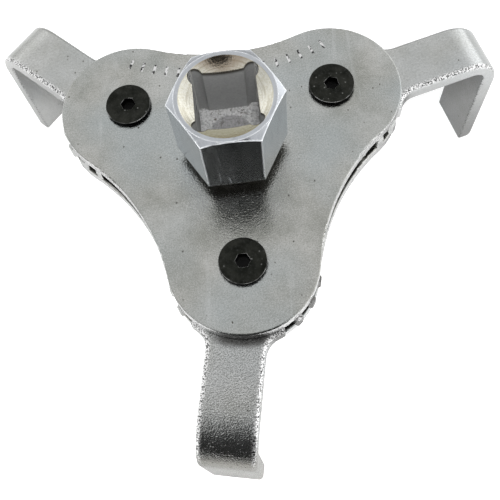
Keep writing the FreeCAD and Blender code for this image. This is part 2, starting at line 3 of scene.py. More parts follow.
import bmesh
import bpy
from mathutils import Matrix, Vector


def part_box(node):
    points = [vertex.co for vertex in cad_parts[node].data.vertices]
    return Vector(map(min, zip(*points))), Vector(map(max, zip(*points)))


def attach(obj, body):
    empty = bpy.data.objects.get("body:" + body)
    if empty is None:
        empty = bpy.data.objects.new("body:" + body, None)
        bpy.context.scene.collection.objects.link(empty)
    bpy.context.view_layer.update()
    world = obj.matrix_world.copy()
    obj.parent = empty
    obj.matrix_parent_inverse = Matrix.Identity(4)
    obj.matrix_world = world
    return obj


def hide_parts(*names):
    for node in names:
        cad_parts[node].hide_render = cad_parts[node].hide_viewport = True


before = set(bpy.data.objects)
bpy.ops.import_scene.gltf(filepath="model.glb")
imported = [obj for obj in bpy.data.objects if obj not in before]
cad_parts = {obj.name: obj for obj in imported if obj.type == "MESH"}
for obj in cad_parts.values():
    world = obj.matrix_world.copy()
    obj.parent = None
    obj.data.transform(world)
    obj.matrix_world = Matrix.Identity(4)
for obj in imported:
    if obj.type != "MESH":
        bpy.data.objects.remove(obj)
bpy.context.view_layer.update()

# Looks of a two-way, three-jaw oil filter wrench. Metres, +Z up, origin at the middle of the
# hub's top face. Lengths given in millimetres are turned into metres by MM.

MM = 0.001
LEGS = (1, 2, 3)
PIVOT_ANGLES = {1: -90.0, 2: 30.0, 3: 150.0}    # degrees round the hub
LEG_SWINGS = {1: -10.2, 2: -14.8, 3: -12.2}     # degrees each leg is swung at rest
PIVOT_OFFSET = 27.0 * MM                        # hub axis to each pivot
LOBE_OFFSET = 26.3 * MM                         # hub axis to the middle of a plate lobe's arc
LOBE_RADIUS = 16.4 * MM
WHITE = (1.0, 1.0, 1.0)
SOOT = (0.05, 0.05, 0.05)

# ---- heights, measured from the hub's top -------------------------------------------------

HEX_FOOT_Z = -18.6 * MM                         # underside of the hub's hexagon
SOCKET_FLOOR_Z = -15.9 * MM                     # just above the floor of the square socket
PLATE_TOP_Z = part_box("top_plate")[1].z
STAMP_FLOOR_Z = PLATE_TOP_Z - 0.20 * MM         # bottom of the stamped bars
SCREW_FACE_Z = PLATE_TOP_Z + 1.25 * MM
SCREW_DARK_Z = -25 * MM                         # the screws' sides carry near-black painted shade down to here
GAP_MIDDLE_Z = PLATE_TOP_Z - 5.1 * MM           # middle of the gap between the plates
GAP_HALF_HEIGHT = 2.15 * MM
FLOOR_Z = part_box("leg_1")[0].z - 0.05 * MM      # just clear of the finger tips


# ---- node helpers -------------------------------------------------------------------------

class Graph:
    """A material's node tree, with one short call for each kind of node it needs."""

    def __init__(self, name):
        self.material = bpy.data.materials.new(name)
        self.material.use_nodes = True
        self.tree = self.material.node_tree
        self.shader = self.tree.nodes["Principled BSDF"]
        self.place = self.tree.nodes.new("ShaderNodeTexCoord").outputs["Object"]

    def set(self, socket, value):
        """Feed one of the shader's sockets."""
        self.feed(self.shader.inputs[socket], value)

    def feed(self, target, value):
        """Give a socket a constant, or link an output to it."""
        if isinstance(value, bpy.types.NodeSocket):
            self.tree.links.new(value, target)
        else:
            target.default_value = value

    def noise(self, size, detail=3.0, rough=0.55, place=None):
        """Cloudy noise from 0 to 1 whose features are about this size, in metres."""
        item = self.tree.nodes.new("ShaderNodeTexNoise")
        item.inputs["Scale"].default_value = 1 / size
        item.inputs["Detail"].default_value = detail
        item.inputs["Roughness"].default_value = rough
        self.tree.links.new(place or self.place, item.inputs["Vector"])
        return item.outputs["Fac"]

    def cells(self, size):
        """Distance to the nearest of scattered points, this far apart, in cell widths."""
        item = self.tree.nodes.new("ShaderNodeTexVoronoi")
        item.inputs["Scale"].default_value = 1 / size
        self.tree.links.new(self.place, item.inputs["Vector"])
        return item.outputs["Distance"]

    def ramp(self, value, low, high, to_low=0.0, to_high=1.0, smooth=False):
        """Map one range to another, clamped."""
        item = self.tree.nodes.new("ShaderNodeMapRange")
        item.interpolation_type = "SMOOTHSTEP" if smooth else "LINEAR"
        self.feed(item.inputs["Value"], value)
        self.feed(item.inputs["From Min"], low)
        self.feed(item.inputs["From Max"], high)
        self.feed(item.inputs["To Min"], to_low)
        self.feed(item.inputs["To Max"], to_high)
        return item.outputs["Result"]

    def math(self, operation, a, b=0.0, c=0.0):
        """One arithmetic step on up to three values."""
        item = self.tree.nodes.new("ShaderNodeMath")
        item.operation = operation
        for socket, value in zip(item.inputs, (a, b, c)):
            self.feed(socket, value)
        return item.outputs["Value"]

    def times(self, first, *others):
        """The product of two or more values."""
        for other in others:
            first = self.math("MULTIPLY", first, other)
        return first

    def squared(self, x, y):
        """The sum of two squares."""
        return self.math("ADD", self.times(x, x), self.times(y, y))

    def distance(self, x, y):
        """How far a step of x and y reaches."""
        return self.math("SQRT", self.squared(x, y))

    def mix(self, factor, a, b):
        """Mix two colours. A factor of 0 gives the first."""
        item = self.tree.nodes.new("ShaderNodeMix")
        item.data_type = "RGBA"
        self.feed(item.inputs["Factor"], factor)
        sockets = [s for s in item.inputs if s.type == "RGBA"]
        for socket, value in zip(sockets, (a, b)):
            self.feed(socket, value if isinstance(value, bpy.types.NodeSocket) else (*value, 1.0))
        return next(s for s in item.outputs if s.type == "RGBA")

    def stretch(self, x, y, z):
        """The place, scaled along each axis."""
        item = self.tree.nodes.new("ShaderNodeMapping")
        item.inputs["Scale"].default_value = (x, y, z)
        self.tree.links.new(self.place, item.inputs["Vector"])
        return item.outputs["Vector"]

    def joined(self, x, y):
        """A place made of two lengths."""
        item = self.tree.nodes.new("ShaderNodeCombineXYZ")
        self.tree.links.new(x, item.inputs["X"])
        self.tree.links.new(y, item.inputs["Y"])
        return item.outputs["Vector"]

    def axes(self):
        """The place's X, Y and Z."""
        item = self.tree.nodes.new("ShaderNodeSeparateXYZ")
        self.tree.links.new(self.place, item.inputs["Vector"])
        return item.outputs["X"], item.outputs["Y"], item.outputs["Z"]

    def rounded(self, radius):
        """The normal as it would be if the piece's edges were rounded by this radius."""
        item = self.tree.nodes.new("ShaderNodeBevel")
        item.samples = 6
        item.inputs["Radius"].default_value = radius
        return item.outputs["Normal"]

    def turned(self, normal):
        """Cosine of the angle between a normal and the face's own."""
        geometry = self.tree.nodes.new("ShaderNodeNewGeometry")
        item = self.tree.nodes.new("ShaderNodeVectorMath")
        item.operation = "DOT_PRODUCT"
        self.tree.links.new(normal, item.inputs[0])
        self.tree.links.new(geometry.outputs["True Normal"], item.inputs[1])
        return item.outputs["Value"]

    def lean(self, normal, direction):
        """How far a normal leans towards a direction that turns with the piece, from -1 to 1."""
        own = self.tree.nodes.new("ShaderNodeVectorTransform")
        own.vector_type = "NORMAL"
        own.convert_from = "WORLD"
        own.convert_to = "OBJECT"
        self.tree.links.new(normal, own.inputs["Vector"])
        item = self.tree.nodes.new("ShaderNodeVectorMath")
        item.operation = "DOT_PRODUCT"
        item.inputs[1].default_value = direction
        self.tree.links.new(own.outputs["Vector"], item.inputs[0])
        return item.outputs["Value"]

    def facing_up(self):
        """Height of the face's own normal: 1 on top, 0 on an upright side."""
        geometry = self.tree.nodes.new("ShaderNodeNewGeometry")
        item = self.tree.nodes.new("ShaderNodeSeparateXYZ")
        self.tree.links.new(geometry.outputs["Normal"], item.inputs["Vector"])
        return item.outputs["Z"]

    def bump(self, layers, normal=None):
        """Stack of (height, depth in metres) bumps over a normal, fed to the shader."""
        for height, depth in layers:
            item = self.tree.nodes.new("ShaderNodeBump")
            item.inputs["Strength"].default_value = 1.0
            item.inputs["Distance"].default_value = depth
            self.tree.links.new(height, item.inputs["Height"])
            if normal:
                self.tree.links.new(normal, item.inputs["Normal"])
            normal = item.outputs["Normal"]
        self.tree.links.new(normal, self.shader.inputs["Normal"])


# ---- materials ----------------------------------------------------------------------------

def leg1_painted_shade(g, colour):
    """Leg 1's finger darkened by painted shade, and a dark painted shadow on its top just beyond the
    plate's rim.
    """
    x, y, z = g.axes()
    below_plate = g.math("SUBTRACT", PLATE_TOP_Z, z)
    # painted shade: the finger darkens below the plate
    finger = g.ramp(below_plate, 5 * MM, 8 * MM, 0.0, 0.75)
    colour = g.mix(finger, colour, (0.30, 0.29, 0.25))
    from_lobe = g.distance(x, g.math("ADD", y, LOBE_OFFSET))
    beyond_rim = g.math("SUBTRACT", from_lobe, LOBE_RADIUS)
    # painted shadow: a dark band just beyond the plate's rim
    rim_shadow = g.ramp(beyond_rim, 0.7 * MM, 2.4 * MM, 0.78, 0.0, smooth=True)
    rim_shadow = g.times(rim_shadow, g.ramp(x, -9.0 * MM, -5.5 * MM))
    return g.mix(rim_shadow, colour, (0.05, 0.045, 0.04))


def painted_edge_glints(g, colour, number):
    """Add painted glints along one side of a leg, and along both sides of leg 1.

    The painted glints sparkle and glow along the arm's upper edge, and dark specks run along the
    inner edge of the finger.
    """
    heading = math.radians(PIVOT_ANGLES[number] + LEG_SWINGS[number])
    inwards = (-math.cos(heading), -math.sin(heading), 0.0)
    side = math.copysign(1.0, math.cos(heading))
    sideways = (side * math.sin(heading), -side * math.cos(heading), 0.0)
    x, y = g.axes()[:2]
    clear_of_plates = g.ramp(g.distance(x, y), 38 * MM, 41 * MM)
    normal = g.rounded(1.4 * MM)
    lean = g.lean(normal, sideways)
    if number == 1:
        colour = leg1_painted_shade(g, colour)
        lean = g.math("ABSOLUTE", lean)
    upper = g.ramp(g.lean(normal, (0.0, 0.0, 1.0)), 0.1, 0.5)
    inner = g.ramp(g.lean(normal, inwards), 0.1, 0.4)
    # painted glints: white specks along the arm's upper edge
    glitter = g.times(g.ramp(lean, 0.06, 0.35), upper)
    line = g.times(g.ramp(lean, 0.35, 0.60), inner)
    above_side = g.ramp(lean, 0.80, 0.95, 1.0, 0.0)
    edge = g.times(g.math("MAXIMUM", glitter, line), clear_of_plates, above_side)
    glint_pattern = g.ramp(g.noise(0.34 * MM, 2.0, 0.6), 0.44, 0.52)
    specks = g.mix(glint_pattern, SOOT, g.mix(upper, colour, WHITE))
    # the painted glints also glow
    g.set("Emission Color", (*WHITE, 1.0))
    g.set("Emission Strength", g.times(glint_pattern, upper, edge, 0.30))
    return g.mix(g.times(edge, 0.85), colour, specks)


def zinc_sheet(name, colours, roughness, grain_size, grain_depth, peel_depth, sparkle,
               shade=0.0, rim=0.0, glinting_leg=None):
    """Zinc-plated stamped steel: cloudy satin grey, coarse grain, scattered pits and scuffs.

    Colours are the light, dark and tinted zinc. Grain size and depth and peel depth are in
    millimetres. Sparkle is how strongly fine specks show, shade how much painted shade darkens
    the gap between the plates and rim how much painted highlight brightens its upright sides.
    A leg's number also gives it painted glints along its edges.
    """
    g = Graph(name)
    light, dark, tint = colours
    height = g.axes()[2]
    clouds = g.noise(9 * MM, 5.0, 0.62)
    patches = g.noise(26 * MM, 2.0)
    grain = g.noise(grain_size * MM, 2.0, 0.7)
    peel = g.noise(1.6 * MM, 3.0, 0.6)
    specks = g.noise(0.26 * MM, 1.0, 0.5)
    pits = g.ramp(g.cells(3.1 * MM), 0.035, 0.08)
    scuffs = g.ramp(g.noise(3.5 * MM, 3.0, 0.7, g.stretch(1.0, 0.12, 1.0)), 0.60, 0.72)
    colour = g.mix(g.ramp(clouds, 0.34, 0.66), dark, light)
    colour = g.mix(g.ramp(patches, 0.42, 0.62, 0.0, 0.8), colour, tint)
    colour = g.mix(g.ramp(grain, 0.35, 0.75, 0.0, 0.35), colour, (0.20, 0.20, 0.18))
    colour = g.mix(g.times(scuffs, 0.35), colour, (0.78, 0.80, 0.80))
    colour = g.mix(pits, (0.10, 0.09, 0.07), colour)
    colour = g.mix(g.ramp(specks, 0.52, 0.62, 0.0, 0.40 * sparkle), colour, (0.16, 0.16, 0.15))
    colour = g.mix(g.ramp(specks, 0.34, 0.46, 0.75 * sparkle, 0.0), colour, WHITE)
    # the stamped bars get painted highlights and painted shadows as white and near-black flecks
    bars = g.math("COMPARE", height, STAMP_FLOOR_Z, 0.04 * MM)
    bar_light_and_shade = g.mix(g.ramp(g.noise(0.8 * MM), 0.44, 0.52), (0.06, 0.06, 0.06), WHITE)
    colour = g.mix(bars, colour, bar_light_and_shade)
    # painted shade in the gap between the plates
    in_gap = g.math("COMPARE", height, GAP_MIDDLE_Z, GAP_HALF_HEIGHT)
    colour = g.mix(g.times(in_gap, shade), colour, (0.10, 0.10, 0.09))
    # painted highlight on the upright sides
    upright = g.ramp(g.math("ABSOLUTE", g.facing_up()), 0.25, 0.75, rim, 0.0)
    colour = g.mix(upright, colour, WHITE)
    if glinting_leg:
        colour = painted_edge_glints(g, colour, glinting_leg)
    g.set("Base Color", colour)
    g.set("Metallic", 1.0)
    g.set("Roughness", g.ramp(clouds, 0.3, 0.7, roughness - 0.04, roughness + 0.06))
    glints = g.ramp(g.cells(0.62 * MM), 0.12, 0.34, 1.0, 0.0)
    g.bump([
        (peel, peel_depth * MM),
        (grain, grain_depth * MM),
        (glints, 0.05 * sparkle * MM),
        (pits, 0.06 * MM),
    ])
    return g.material


def plate_zinc():
    """The zinc of both plates: darker and yellower than the legs', with painted shade between them.
    """
    return zinc_sheet(
        "zinc_plate",
        colours=((0.73, 0.73, 0.70), (0.46, 0.47, 0.43), (0.60, 0.65, 0.66)),
        roughness=0.19,
        grain_size=0.40,
        grain_depth=0.047,
        peel_depth=0.015,
        sparkle=0.25,
        shade=0.8,
        rim=0.9,
    )


def leg_zinc(number):
    """The zinc of one leg. Leg 1 was bent in a rougher die than the others."""
    rough = number == 1
    return zinc_sheet(
        f"zinc_leg_{number}",
        colours=((0.79, 0.80, 0.79), (0.60, 0.61, 0.58), (0.69, 0.72, 0.73)),
        roughness=0.16 if rough else 0.17,
        grain_size=0.36 if rough else 0.50,
        grain_depth=0.100 if rough else 0.026,
        peel_depth=0.015 if rough else 0.020,
        sparkle=0.65 if rough else 0.15,
        rim=0.0 if rough else 0.3,
        glinting_leg=number,
    )


def hub_plating():
    """Bright plating outside, a yellowed turned mouth and a rough, bare broached socket."""
    g = Graph("hub_plating")
    x, y, z = g.axes()
    square = g.squared(x, y)
    radius = g.math("SQRT", square)

    # Where things are: the mouth is part of a ball, and the socket's walls start under it.
    ball_radius, ball_height = 17.75 * MM, 14.93 * MM
    drop = g.math("SQRT", g.math("SUBTRACT", ball_radius**2, square))
    under_dish = g.math("SUBTRACT", g.math("SUBTRACT", ball_height, drop), z)
    within_mouth = g.ramp(radius, 9.45 * MM, 9.55 * MM, 1.0, 0.0)
    above_foot = g.ramp(z, HEX_FOOT_Z + 1.0 * MM, HEX_FOOT_Z + 1.1 * MM)
    inside = g.times(within_mouth, above_foot)
    outside = g.ramp(inside, 0.0, 1.0, 1.0, 0.0)
    collar = g.ramp(z, HEX_FOOT_Z, HEX_FOOT_Z + 0.3 * MM, 1.0, 0.0)
    above_collar = g.ramp(collar, 0.0, 1.0, 1.0, 0.0)
    walls = g.times(inside, g.ramp(under_dish, 0.08 * MM, 0.12 * MM))
    lip = g.ramp(under_dish, 0.4 * MM, 1.3 * MM, 1.0, 0.0)
    floor = g.ramp(z, SOCKET_FLOOR_Z, SOCKET_FLOOR_Z + 0.1 * MM, 1.0, 0.0)
    drilled_hole = g.times(floor, g.ramp(radius, 4.6 * MM, 4.8 * MM, 1.0, 0.0))

    smears = g.noise(2.5 * MM, 4.0, 0.65, g.stretch(1, 1, 0.3))
    clouds = g.noise(6 * MM, 3.0)
    fine = g.noise(0.45 * MM, 2.0, 0.7)
    turning = g.noise(0.35 * MM, 3.0, 0.7, g.stretch(0.25, 0.25, 1))
    colour = g.mix(clouds, (0.60, 0.63, 0.67), (0.74, 0.77, 0.81))
    colour = g.mix(g.ramp(smears, 0.5, 0.75, 0.0, 0.45), colour, (0.42, 0.44, 0.46))

    # The mouth has turning rings and is browner at the far side and olive at the near side.
    mouth = g.mix(g.ramp(fine, 0.35, 0.7), (0.98, 0.97, 0.88), (0.84, 0.81, 0.67))
    rings = g.noise(0.42 * MM, 2.0, 0.6, g.joined(radius, g.times(y, 0.06)))
    mouth = g.mix(g.ramp(rings, 0.5, 0.62, 0.0, 0.45), mouth, (0.50, 0.46, 0.34))
    from_middle = g.math("ABSOLUTE", g.times(x, 0.35))
    far = g.ramp(g.math("SUBTRACT", y, from_middle), 4.2 * MM, 7.6 * MM, smooth=True)
    mouth = g.mix(g.times(far, 0.75), mouth, (0.36, 0.27, 0.19))
    mouth = g.mix(g.ramp(y, -7.2 * MM, -5.5 * MM, 0.7, 0.0), mouth, (0.60, 0.57, 0.38))
    colour = g.mix(inside, colour, mouth)
    # painted shade on the collar under the hexagon's foot
    colour = g.mix(collar, colour, (0.16, 0.155, 0.145))

    # The bare socket is lighter on its floor and stained, with painted shade just under the mouth.
    bare = g.mix(g.ramp(fine, 0.3, 0.7), (0.28, 0.285, 0.285), (0.36, 0.36, 0.355))
    bare = g.mix(g.times(floor, g.ramp(fine, 0.35, 0.6)), bare, (0.57, 0.57, 0.57))
    rust = g.ramp(g.noise(1.1 * MM, 4.0, 0.75), 0.56, 0.66)
    bare = g.mix(g.times(floor, rust), bare, (0.09, 0.075, 0.06))
    bare = g.mix(g.times(drilled_hole, 0.6), bare, (0.16, 0.155, 0.16))
    # painted shade at the top of the socket's walls
    bare = g.mix(lip, bare, (0.05, 0.045, 0.035))
    colour = g.mix(walls, colour, bare)

    # Painted highlights on the corners, which also glow, and light scratches, but not at the mouth's
    # rim or the hexagon's foot.
    scratches = g.noise(1.4 * MM, 3.0, 0.7, g.stretch(1.0, 1.0, 0.16))
    scratches = g.ramp(scratches, 0.62, 0.70, 0.0, 0.30)
    corner = g.ramp(g.turned(g.rounded(0.5 * MM)), 0.93, 0.995, 1.0, 0.0)
    off_mouth = g.ramp(radius, 9.9 * MM, 10.3 * MM)
    off_foot = g.ramp(z, HEX_FOOT_Z + 1.0 * MM, HEX_FOOT_Z + 1.6 * MM)
    edge = g.times(corner, off_mouth, off_foot, g.ramp(smears, 0.35, 0.6, 0.25, 0.9))
    scratch_and_highlight = g.math("MAXIMUM", edge, g.times(scratches, outside))
    scratch_and_highlight = g.times(scratch_and_highlight, above_collar)

    plated = g.ramp(fine, 0.3, 0.7, 0.10, 0.20)
    metal = g.ramp(walls, 0.0, 1.0, 1.0, 0.15)
    dents = g.times(fine, g.ramp(inside, 0.0, 1.0, 0.25, 0.6))
    g.set("Base Color", g.mix(scratch_and_highlight, colour, (0.95, 0.96, 0.98)))
    g.set("Metallic", g.math("SUBTRACT", metal, g.times(scratch_and_highlight, 0.85)))
    g.set("Roughness", g.math("MAXIMUM", plated, g.times(walls, 0.6)))
    # the painted corner highlights glow
    g.set("Emission Color", (0.92, 0.96, 1.0, 1.0))
    g.set("Emission Strength", g.times(edge, 0.60))
    g.bump([(turning, 0.010 * MM), (dents, 0.035 * MM)], g.rounded(0.30 * MM))
    return g.material


def black_oxide():
    """Blackened steel: oily on the face, with a broken painted highlight on its rim and near-black
    painted shade below it.
    """
    g = Graph("black_oxide")
    z = g.axes()[2]
    fine = g.noise(0.5 * MM, 3.0, 0.75)
    clouds = g.noise(2.5 * MM, 3.0)
    wear = g.ramp(g.cells(1.7 * MM), 0.05, 0.13, 1.0, 0.0)
    colour = g.mix(g.ramp(clouds, 0.35, 0.65), (0.004, 0.005, 0.003), (0.020, 0.021, 0.017))
    colour = g.mix(g.ramp(fine, 0.55, 0.75, 0.0, 0.6), colour, SOOT)
    colour = g.mix(g.times(wear, 0.5), colour, (0.30, 0.30, 0.29))
    # painted shade: near black in the key socket and on the sides below the face
    below_face = g.math("SUBTRACT", SCREW_FACE_Z, z)
    painted_recess_shade = g.ramp(below_face, 0.12 * MM, 0.30 * MM)
    painted_recess_shade = g.times(painted_recess_shade, g.ramp(z, SCREW_DARK_Z, SCREW_DARK_Z + 1 * MM))
    colour = g.mix(painted_recess_shade, colour, (0.003, 0.003, 0.003))
    # painted highlight: a broken light band round the rim and the socket's edge
    rim = g.ramp(below_face, 0.06 * MM, 0.10 * MM)
    rim = g.times(rim, g.ramp(below_face, 0.14 * MM, 0.19 * MM, 1.0, 0.0))
    rim = g.times(rim, g.ramp(g.noise(2.2 * MM), 0.40, 0.56, 0.1, 0.9))
    g.set("Base Color", g.mix(rim, colour, (0.50, 0.50, 0.49)))
    g.set("Metallic", 0.5)
    g.set("Specular IOR Level", 0.25)
    g.set("Roughness", g.ramp(fine, 0.3, 0.7, 0.24, 0.42))
    g.bump([(fine, 0.06 * MM)])
    return g.material


def machined_steel(name, light, dark, roughness):
    """Plain machined steel with fine marks and slightly eased edges."""
    g = Graph(name)
    clouds = g.noise(4 * MM, 4.0)
    fine = g.noise(0.3 * MM, 2.0, 0.7)
    g.set("Base Color", g.mix(g.ramp(clouds, 0.3, 0.7), dark, light))
    g.set("Metallic", 1.0)
    g.set("Roughness", g.ramp(fine, 0.3, 0.7, roughness - 0.06, roughness + 0.06))
    g.bump([(fine, 0.012 * MM)], g.rounded(0.08 * MM))
    return g.material


def dress(node, material):
    """Give a CAD node one material."""
    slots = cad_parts[node].data.materials
    slots.clear()
    slots.append(material)


def dress_all():
    """Give every CAD node its material, and put in the detailed fasteners."""
    plate = plate_zinc()
    black = black_oxide()
    gear = machined_steel("gear_steel", (0.34, 0.34, 0.34), (0.16, 0.155, 0.15), 0.34)
    spring = machined_steel("spring_steel", (0.16, 0.16, 0.17), (0.09, 0.09, 0.10), 0.42)
    zinc = machined_steel("fastener_zinc", (0.74, 0.76, 0.78), (0.60, 0.62, 0.64), 0.28)
    by_node = {
        "top_plate": plate,
        "bottom_plate": plate,
        "drive_hub": hub_plating(),
        "sun_gear": gear,
        "thrust_washer": zinc,
        "retaining_ring": spring,
    }
    for number in LEGS:
        by_node[f"leg_{number}"] = leg_zinc(number)
        by_node[f"pivot_screw_{number}"] = black
        by_node[f"pivot_sleeve_{number}"] = gear
        by_node[f"pivot_lock_washer_{number}"] = spring
        by_node[f"pivot_nut_{number}"] = zinc
    for node, material in by_node.items():
        dress(node, material)
    add_fasteners(black, spring, zinc)


# ---- detailed fasteners -------------------------------------------------------------------
# Lengths here are in millimetres, heights from the top of each piece, until add_piece.

SEGMENTS = 96
PITCH = 0.8                                 # of the M5 thread
SHANK_RADIUS = 2.45
THREAD_TOP = -13.0                          # the screws are plain above here
SCREW_END = -18.0
NUT_FLATS = 8.0
NUT_HEIGHT = 4.0
KEY_TURNS = {1: 30.0, 2: 12.0, 3: 24.0}     # degrees each screw's key socket is turned


def hexagon_radius(flats, angle):
    """Radius at an angle, in radians, of a hexagon with corners on the X axis."""
    sixth = math.pi / 3
    return flats / 2 / math.cos(angle % sixth - sixth / 2)


def lathe(outline_at, closed):
    """Points and faces of a piece whose outline, (radius, height) pairs, may vary round the axis."""
    points, faces = [], []
    for step in range(SEGMENTS):
        angle = 2 * math.pi * step / SEGMENTS
        outline = outline_at(angle)
        points += [(r * math.cos(angle), r * math.sin(angle), z) for r, z in outline]
    count = len(outline)
    for step in range(SEGMENTS):
        here, there = step * count, (step + 1) % SEGMENTS * count
        for index in range(count if closed else count - 1):
            after = (index + 1) % count
            faces.append((here + index, here + after, there + after, there + index))
    return points, faces


def thread_depth(angle, height, depth):
    """Depth of a V thread at a place, from 0 at the crest to depth at the root."""
    turn = (height / PITCH - angle / (2 * math.pi)) % 1.0
    return depth * min(1.0, max(0.0, 1.25 * abs(2 * turn - 1) - 0.1))


def screw_outline(angle):
    """Flat-head M5 socket screw: eased rim, hexagon socket and a threaded end."""
    key = hexagon_radius(3.0, angle)
    outline = [(0.0, -2.3), (1.35, -1.9), (key, -1.9), (key, -0.15), (key + 0.12, 0.0)]
    outline += [(2.6, 0.0), (4.2, 0.0), (4.9, -0.01), (5.06, -0.06), (5.14, -0.14)]
    outline += [(5.18, -0.26), (5.18, -0.38), (5.12, -0.46), (2.6, -2.8)]
    outline += [(SHANK_RADIUS, -3.05), (SHANK_RADIUS, THREAD_TOP)]
    rows = 60
    for row in range(rows + 1):
        height = THREAD_TOP + row * (SCREW_END - THREAD_TOP) / rows
        run_out = (THREAD_TOP - height) * 0.6
        cut = min(thread_depth(angle, height, 0.42), run_out)
        chamfer = max(0.0, SCREW_END + 0.45 - height)
        outline.append((SHANK_RADIUS - max(cut, chamfer), height))
    outline.append((0.0, SCREW_END))
    return outline


def nut_outline(angle):
    """M5 nut: hexagon with both faces crowned and a bevelled, threaded bore."""
    crown_radius, widest = 3.9, 4.56
    flat = min(hexagon_radius(NUT_FLATS, angle), widest)
    crown = [(crown_radius, 0.0)]
    for step in range(1, 6):
        beyond = (flat - crown_radius) * step / 5
        crown.append((crown_radius + beyond, -0.30 * beyond - 0.16 * beyond**2))
    lower = [(radius, -NUT_HEIGHT - 1.2 * height) for radius, height in reversed(crown)]
    outline = [(2.62, 0.0), *crown, *lower, (2.62, -NUT_HEIGHT), (2.5, -3.85)]
    rows = 40
    for row in range(1, rows):
        height = -3.85 + row * 3.7 / rows
        outline.append((2.28 + thread_depth(angle, height, 0.22), height))
    return outline + [(2.5, -0.15)]


def lock_washer():
    """Split spring washer: a coil of one turn with eased corners and slanting ends."""
    inner, outer, thick, ease = 2.6, 4.55, 1.2, 0.16
    half_gap, slant = 0.11, 0.10                # radians
    corners = (
        (outer - ease, -ease, (90, 45, 0)),
        (outer - ease, ease - thick, (0, -45, -90)),
        (inner + ease, ease - thick, (-90, -135, 180)),
        (inner + ease, -ease, (180, 135, 90)),
    )
    section = []
    for middle_r, middle_z, angles in corners:
        for degrees in angles:
            turn = math.radians(degrees)
            section.append((middle_r + ease * math.cos(turn), middle_z + ease * math.sin(turn)))
    count = len(section)
    points, faces = [], []
    for step in range(SEGMENTS + 1):
        part = step / SEGMENTS
        for r, z in section:
            lean = slant * (z / thick + 0.5)
            angle = half_gap + lean + part * (2 * math.pi - 2 * half_gap)
            points.append((r * math.cos(angle), r * math.sin(angle), z))
    for step in range(SEGMENTS):
        here, there = step * count, (step + 1) * count
        for index in range(count):
            after = (index + 1) % count
            faces.append((here + index, there + index, there + after, here + after))
    last = SEGMENTS * count
    faces += [tuple(range(count)), tuple(last + index for index in reversed(range(count)))]
    return points, faces


def add_piece(name, shape, node, material, turned=0.0):
    """A detailed piece that stands for a CAD fastener, on that node's own axis."""
    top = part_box(node)[1].z
    direction = math.radians(PIVOT_ANGLES[int(node[-1])])
    points, faces = shape
    mesh = bpy.data.meshes.new(name)
    mesh.from_pydata([tuple(c * MM for c in point) for point in points], [], faces)
    work = bmesh.new()
    work.from_mesh(mesh)
    bmesh.ops.remove_doubles(work, verts=work.verts, dist=1e-7)
    bmesh.ops.recalc_face_normals(work, faces=work.faces)
    work.to_mesh(mesh)
    work.free()
    turn = Matrix.Rotation(direction + math.radians(turned), 4, "Z")
    place = Vector((PIVOT_OFFSET * math.cos(direction), PIVOT_OFFSET * math.sin(direction), top))
    mesh.transform(Matrix.Translation(place) @ turn)
    mesh.shade_smooth()
    mesh.set_sharp_from_angle(angle=math.radians(35))
    mesh.materials.append(material)
    piece = bpy.data.objects.new(name, mesh)
    bpy.context.scene.collection.objects.link(piece)
    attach(piece, "plates")
    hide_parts(node)


def add_fasteners(black, spring, zinc):
    """A screw, nut and spring washer at each pivot."""
    screw = lathe(screw_outline, closed=False)
    nut = lathe(nut_outline, closed=True)
    washer = lock_washer()
    for number in LEGS:
        screw_node = f"pivot_screw_{number}"
        nut_node = f"pivot_nut_{number}"
        washer_node = f"pivot_lock_washer_{number}"
        key_turn = KEY_TURNS[number]
        add_piece(f"socket_screw_{number}", screw, screw_node, black, key_turn)
        add_piece(f"hex_nut_{number}", nut, nut_node, zinc)
        add_piece(f"spring_washer_{number}", washer, washer_node, spring)


# ---- stage --------------------------------------------------------------------------------

def make_floor():
    """A plain pale floor under the finger tips, lit up so that only a trace of the shadows shows.

    Two darker patches of painted shadow below the far fingers show in reflections, the left one
    less.
    """
    reach = 3.0
    mesh = bpy.data.meshes.new("floor")
    signs = (-1, -1), (1, -1), (1, 1), (-1, 1)
    mesh.from_pydata([(i * reach, j * reach, FLOOR_Z) for i, j in signs], [], [(0, 1, 2, 3)])
    floor = bpy.data.objects.new("floor", mesh)
    bpy.context.scene.collection.objects.link(floor)
    g = Graph("floor_card")
    seen = g.tree.nodes.new("ShaderNodeLightPath").outputs["Is Camera Ray"]
    x, y = g.axes()[:2]
    # painted shadows on the floor below the far fingers
    from_x = g.math("SUBTRACT", g.math("ABSOLUTE", x), 52 * MM)
    from_y = g.math("SUBTRACT", y, 28 * MM)
    patches = g.ramp(g.distance(from_x, from_y), 18 * MM, 36 * MM, 1.0, 0.0)
    fainter_left = g.ramp(x, -1 * MM, 1 * MM, 0.45, 1.0)
    shaded = g.times(patches, fainter_left)
    g.set("Base Color", g.mix(shaded, (0.66, 0.66, 0.66), (0.34, 0.34, 0.34)))
    g.set("Roughness", 0.9)
    g.set("Specular IOR Level", 0.1)
    g.set("Emission Color", (*WHITE, 1.0))
    g.set("Emission Strength", g.times(seen, 0.75))
    mesh.materials.append(g.material)


CAMERA_AZIMUTH = math.radians(6.57)
CAMERA_ELEVATION = math.radians(67.03)
CAMERA_ROLL = math.radians(-11.56)
CAMERA_DISTANCE = 166.67 * MM
CAMERA_TARGET = Vector((-1.62 * MM, -16.15 * MM, PLATE_TOP_Z))
CAMERA_LENS = 55.82
CAMERA_SHIFT = (0.0365, -0.0694)


def towards_camera():
    """Direction from the tool to the camera."""
    flat = math.cos(CAMERA_ELEVATION)
    x = math.sin(CAMERA_AZIMUTH) * flat
    y = -math.cos(CAMERA_AZIMUTH) * flat
    return Vector((x, y, math.sin(CAMERA_ELEVATION)))


